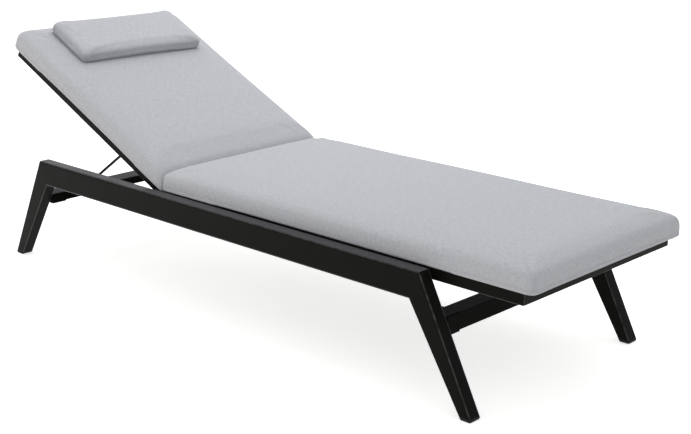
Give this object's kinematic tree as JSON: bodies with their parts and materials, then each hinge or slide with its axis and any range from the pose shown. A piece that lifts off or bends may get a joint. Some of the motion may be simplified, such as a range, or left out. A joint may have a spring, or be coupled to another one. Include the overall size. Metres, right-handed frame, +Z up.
{
  "type": "relaxation lounger",
  "caption": "Low flat relaxation lounger on two splayed-leg side frames, with a reclining slatted backrest on a folding support, thick seat and back cushions and a head pillow.",
  "frame": {"origin": "on the floor, centred across, midway between the foot end of the seat cushion and the toes of the rear legs", "axes": "+X across to the right as seen from the foot end, +Y from the foot end to the head end, +Z up"},
  "size_m": [0.7, 1.9602, 0.7204],
  "materials": {
    "coated_aluminium": "matte",
    "coated_steel": "satin",
    "steel_fastener": "satin",
    "black_plastic": "matte",
    "cushion_fabric": "matte",
    "grip_tape": "matte"
  },
  "bodies": {
    "base": {"right_rail": "coated_aluminium", "left_rail": "coated_aluminium", "right_front_leg": "coated_aluminium", "left_front_leg": "coated_aluminium", "right_rear_leg": "coated_aluminium", "left_rear_leg": "coated_aluminium", "right_front_beam_sleeve": "coated_aluminium", "left_front_beam_sleeve": "coated_aluminium", "right_rear_beam_sleeve": "coated_aluminium", "left_rear_beam_sleeve": "coated_aluminium", "right_seat_side_tube": "coated_aluminium", "left_seat_side_tube": "coated_aluminium", "right_seat_foot_corner": "coated_aluminium", "left_seat_foot_corner": "coated_aluminium", "right_rack": "coated_aluminium", "left_rack": "coated_aluminium", "front_cross_beam": "coated_aluminium", "rear_cross_beam": "coated_aluminium", "seat_foot_tube": "coated_aluminium", "seat_rear_tube": "coated_aluminium", "seat_slats": "coated_aluminium", "right_front_glide": "black_plastic", "left_front_glide": "black_plastic", "right_rear_glide": "black_plastic", "left_rear_glide": "black_plastic", "right_pivot_washer": "black_plastic", "left_pivot_washer": "black_plastic", "seat_tube_plugs": "black_plastic", "seat_spacers": "black_plastic", "right_pivot_bolt": "steel_fastener", "left_pivot_bolt": "steel_fastener", "beam_screws": "steel_fastener", "seat_bolts": "steel_fastener", "seat_rivet_nuts": "steel_fastener", "pivot_rivet_nuts": "steel_fastener", "rack_screws": "steel_fastener", "seat_cushion": "cushion_fabric"},
    "backrest": {"right_back_side_tube": "coated_aluminium", "left_back_side_tube": "coated_aluminium", "right_back_head_corner": "coated_aluminium", "left_back_head_corner": "coated_aluminium", "right_support_ear": "coated_aluminium", "left_support_ear": "coated_aluminium", "back_head_tube": "coated_aluminium", "back_lower_tube": "coated_aluminium", "back_slats": "coated_aluminium", "right_pivot_bush": "black_plastic", "left_pivot_bush": "black_plastic", "back_tube_plugs": "black_plastic", "back_cushion": "cushion_fabric", "head_pillow": "cushion_fabric", "pillow_grip_strips": "grip_tape"},
    "support": {"support_cross_bar": "coated_steel", "right_support_arm": "coated_steel", "left_support_arm": "coated_steel", "right_support_foot_sleeve": "black_plastic", "left_support_foot_sleeve": "black_plastic"}
  },
  "joints": [
    {"name": "recline", "type": "hinge", "parent": "base", "child": "backrest", "pos_m": [0, 0.3045, 0.3154], "axis": [1, 0, 0], "range_deg": [-25.4, 19.6]},
    {"name": "support_swing", "type": "hinge", "parent": "backrest", "child": "support", "pos_m": [0, 0.49303, 0.39163], "axis": [1, 0, 0], "range_deg": [-43.5, 56.5]}
  ],
  "couplings": [
    {"joint": "support_swing", "follows": "recline", "ratio": -2.192}
  ]
}
